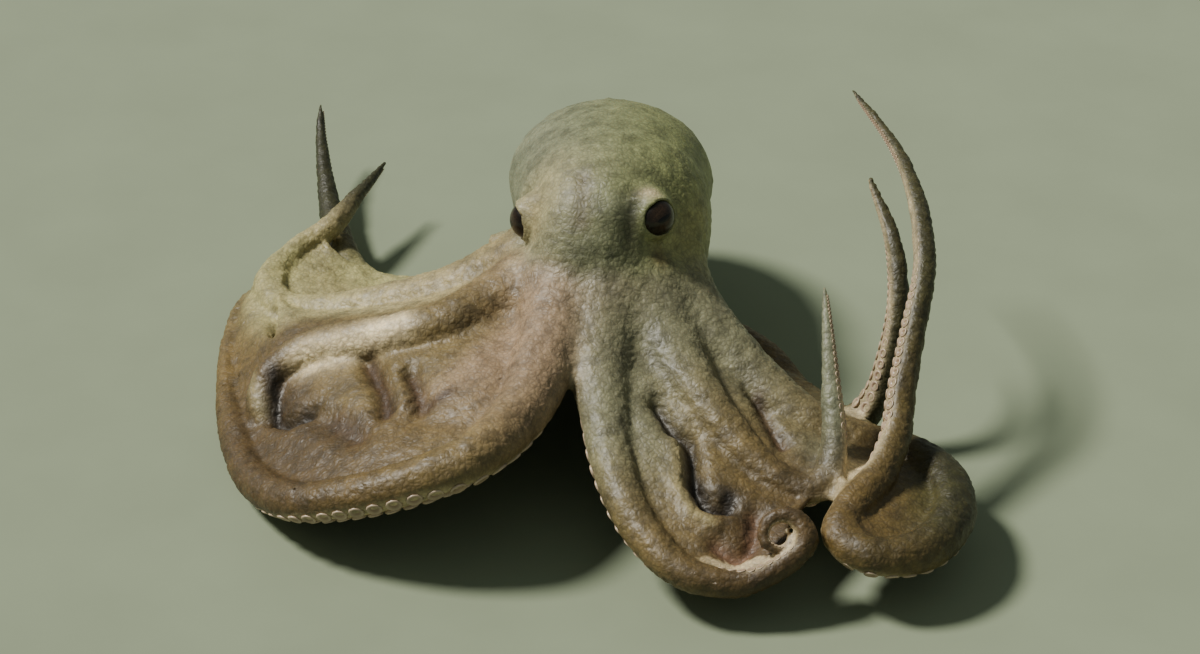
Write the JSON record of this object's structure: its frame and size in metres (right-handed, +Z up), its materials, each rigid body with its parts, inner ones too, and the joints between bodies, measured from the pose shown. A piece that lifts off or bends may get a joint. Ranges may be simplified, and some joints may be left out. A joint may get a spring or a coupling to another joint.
{
  "type": "octopus",
  "caption": "Life-size octopus standing on spread and curled arms, with its web stretched between them, its mantle raised behind the head and arm tips lifted",
  "frame": {"origin": "centre of the footprint, on the floor on which the arms rest", "axes": "+Z up, the animal faces -Y turned about 20 degrees towards -X, +X is the animal's left"},
  "size_m": [0.336, 0.3847, 0.1143],
  "materials": {
    "skin": "moist mottled skin, pinkish beige to grey-green, satin gloss",
    "mantle_skin": "moist fine-grained skin, grey-olive, satin gloss",
    "web_skin": "thin moist folded skin, ochre to red-brown, satin gloss",
    "sucker": "pale moist cups with a fine rim",
    "eye": "wet glossy eyeball, dark bronze iris with a black slit pupil"
  },
  "bodies": {
    "root": {"head": "skin", "mantle": "mantle_skin", "funnel": "skin", "eye_left": "eye", "eye_right": "eye", "arm_left_1_base": "skin", "arm_left_1_middle": "skin", "arm_left_1_tip": "skin", "arm_left_2_base": "skin", "arm_left_2_middle": "skin", "arm_left_2_tip": "skin", "arm_left_3_base": "skin", "arm_left_3_middle": "skin", "arm_left_3_tip": "skin", "arm_left_4_base": "skin", "arm_left_4_middle": "skin", "arm_left_4_tip": "skin", "arm_right_1_base": "skin", "arm_right_1_middle": "skin", "arm_right_1_tip": "skin", "arm_right_2_base": "skin", "arm_right_2_middle": "skin", "arm_right_2_tip": "skin", "arm_right_3_base": "skin", "arm_right_3_middle": "skin", "arm_right_3_tip": "skin", "arm_right_4_base": "skin", "arm_right_4_middle": "skin", "arm_right_4_tip": "skin", "web_front": "web_skin", "web_left_1_2": "web_skin", "web_left_2_3": "web_skin", "web_left_3_4": "web_skin", "web_rear": "web_skin", "web_right_3_4": "web_skin", "web_right_2_3": "web_skin", "web_right_1_2": "web_skin"}
  },
  "joints": []
}
